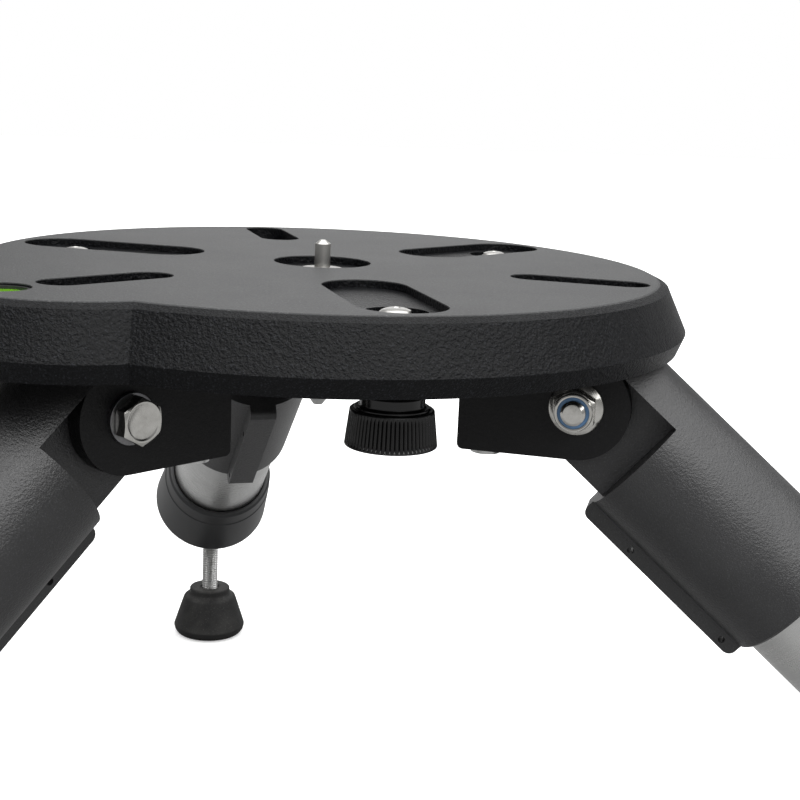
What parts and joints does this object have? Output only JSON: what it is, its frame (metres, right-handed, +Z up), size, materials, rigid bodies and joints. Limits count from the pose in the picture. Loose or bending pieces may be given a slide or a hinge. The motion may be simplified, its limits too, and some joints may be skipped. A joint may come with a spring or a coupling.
{
  "type": "tabletop camera tripod",
  "caption": "Low camera or telescope tripod: a round slotted head plate with a centre pin, captive knobs, a round level and short folding tube legs on screw feet.",
  "frame": {"origin": "on the centre pin's axis, level with the head plate's top face", "axes": "+Z up along the centre pin; +Y towards the rear leg; the round level sits at 210 degrees from +X, over the left leg"},
  "size_m": [0.443, 0.3912, 0.2321],
  "materials": {
    "plate_paint": "blue-black orange-peel powder coat on the wall, fine-grained dark grey top",
    "collar_paint": "fine-grained black powder coat, soft sheen",
    "bracket_paint": "satin black coat on a casting",
    "stainless_tube": "satin stainless, brushed along its length",
    "pin_steel": "turned stainless",
    "bolt_steel": "bright zinc plated steel",
    "screw_steel": "satin stainless screws",
    "ring_steel": "spring steel",
    "nylon_blue": "blue nylon locking ring",
    "washer_plastic": "black thrust washer",
    "cap_plastic": "dark grey satin moulding",
    "bush_bronze": "sintered bronze",
    "insert_brass": "turned brass",
    "foot_rubber": "matt black rubber",
    "knob_plastic": "glossy black neck, satin ribbed grip",
    "level_cup": "black moulded cup",
    "level_liquid": "lime-green liquid",
    "level_bubble": "air bubble",
    "level_window": "clear window"
  },
  "bodies": {
    "head": {"head_plate": "plate_paint", "centre_pin": "pin_steel", "centre_pin_nut": "screw_steel", "level_housing": "level_cup", "level_liquid": "level_liquid", "level_bubble": "level_bubble", "level_lens": "level_window", "bracket_screws": "screw_steel", "hinge_bracket_left": "bracket_paint", "pivot_bolt_left": "bolt_steel", "pivot_nut_left": "bolt_steel", "hinge_bracket_right": "bracket_paint", "pivot_bolt_right": "bolt_steel", "pivot_nut_right": "bolt_steel", "hinge_bracket_rear": "bracket_paint", "pivot_bolt_rear": "bolt_steel", "pivot_nut_rear": "bolt_steel", "pivot_nut_rings": "nylon_blue", "pivot_washers": "ring_steel"},
    "leg_left": {"leg_collar_left": "collar_paint", "leg_tube_left": "stainless_tube", "leg_end_cap_left": "cap_plastic", "foot_insert_left": "insert_brass", "pivot_bush_left": "bush_bronze"},
    "foot_rod_left": {"foot_rod_left": "screw_steel"},
    "foot_pad_left": {"foot_pad_left": "foot_rubber"},
    "leg_right": {"leg_collar_right": "collar_paint", "leg_tube_right": "stainless_tube", "leg_end_cap_right": "cap_plastic", "foot_insert_right": "insert_brass", "pivot_bush_right": "bush_bronze"},
    "foot_rod_right": {"foot_rod_right": "screw_steel"},
    "foot_pad_right": {"foot_pad_right": "foot_rubber"},
    "leg_rear": {"leg_collar_rear": "collar_paint", "leg_tube_rear": "stainless_tube", "leg_end_cap_rear": "cap_plastic", "foot_insert_rear": "insert_brass", "pivot_bush_rear": "bush_bronze"},
    "foot_rod_rear": {"foot_rod_rear": "screw_steel"},
    "foot_pad_rear": {"foot_pad_rear": "foot_rubber"},
    "screw_slider_front": {"captive_washer_front": "washer_plastic"},
    "screw_knob_front": {"knob_front": "knob_plastic", "captive_bolt_front": "pin_steel", "retaining_ring_front": "ring_steel"},
    "screw_slider_back_right": {"captive_washer_back_right": "washer_plastic"},
    "screw_knob_back_right": {"knob_back_right": "knob_plastic", "captive_bolt_back_right": "pin_steel", "retaining_ring_back_right": "ring_steel"},
    "screw_slider_back_left": {"captive_washer_back_left": "washer_plastic"},
    "screw_knob_back_left": {"knob_back_left": "knob_plastic", "captive_bolt_back_left": "pin_steel", "retaining_ring_back_left": "ring_steel"}
  },
  "joints": [
    {"name": "leg_hinge_left", "type": "hinge", "parent": "head", "child": "leg_left", "pos_m": [-0.07985, -0.0461, -0.0392], "axis": [0.5, -0.866, 0], "range_deg": [0, 50]},
    {"name": "foot_height_left", "type": "slide", "parent": "leg_left", "child": "foot_rod_left", "axis": [0, 0, -1], "range_m": [-0.00625, 0.00625]},
    {"name": "foot_turn_left", "type": "hinge", "parent": "foot_rod_left", "child": "foot_pad_left", "pos_m": [-0.19919, -0.115, -0.2125], "axis": [0, 0, 1], "range_deg": [-1800, 1800]},
    {"name": "leg_hinge_right", "type": "hinge", "parent": "head", "child": "leg_right", "pos_m": [0.07985, -0.0461, -0.0392], "axis": [0.5, 0.866, 0], "range_deg": [0, 50]},
    {"name": "foot_height_right", "type": "slide", "parent": "leg_right", "child": "foot_rod_right", "axis": [0, 0, -1], "range_m": [-0.00625, 0.00625]},
    {"name": "foot_turn_right", "type": "hinge", "parent": "foot_rod_right", "child": "foot_pad_right", "pos_m": [0.19919, -0.115, -0.2125], "axis": [0, 0, 1], "range_deg": [-1800, 1800]},
    {"name": "leg_hinge_rear", "type": "hinge", "parent": "head", "child": "leg_rear", "pos_m": [0, 0.0922, -0.0392], "axis": [-1, 0, 0], "range_deg": [0, 50]},
    {"name": "foot_height_rear", "type": "slide", "parent": "leg_rear", "child": "foot_rod_rear", "axis": [0, 0, -1], "range_m": [-0.00625, 0.00625]},
    {"name": "foot_turn_rear", "type": "hinge", "parent": "foot_rod_rear", "child": "foot_pad_rear", "pos_m": [0, 0.23, -0.2125], "axis": [0, 0, 1], "range_deg": [-1800, 1800]},
    {"name": "screw_lift_front", "type": "slide", "parent": "head", "child": "screw_slider_front", "axis": [0, 0, 1], "range_m": [0, 0.008]},
    {"name": "screw_turn_front", "type": "hinge", "parent": "screw_slider_front", "child": "screw_knob_front", "pos_m": [0, -0.092, -0.035], "axis": [0, 0, 1], "continuous": true},
    {"name": "screw_lift_back_right", "type": "slide", "parent": "head", "child": "screw_slider_back_right", "axis": [0, 0, 1], "range_m": [0, 0.008]},
    {"name": "screw_turn_back_right", "type": "hinge", "parent": "screw_slider_back_right", "child": "screw_knob_back_right", "pos_m": [0.07967, 0.046, -0.035], "axis": [0, 0, 1], "continuous": true},
    {"name": "screw_lift_back_left", "type": "slide", "parent": "head", "child": "screw_slider_back_left", "axis": [0, 0, 1], "range_m": [0, 0.008]},
    {"name": "screw_turn_back_left", "type": "hinge", "parent": "screw_slider_back_left", "child": "screw_knob_back_left", "pos_m": [-0.07967, 0.046, -0.035], "axis": [0, 0, 1], "continuous": true}
  ],
  "couplings": [
    {"joint": "foot_height_left", "follows": "foot_turn_left", "m_per_rad": 0.00019894},
    {"joint": "foot_height_right", "follows": "foot_turn_right", "m_per_rad": 0.00019894},
    {"joint": "foot_height_rear", "follows": "foot_turn_rear", "m_per_rad": 0.00019894}
  ]
}
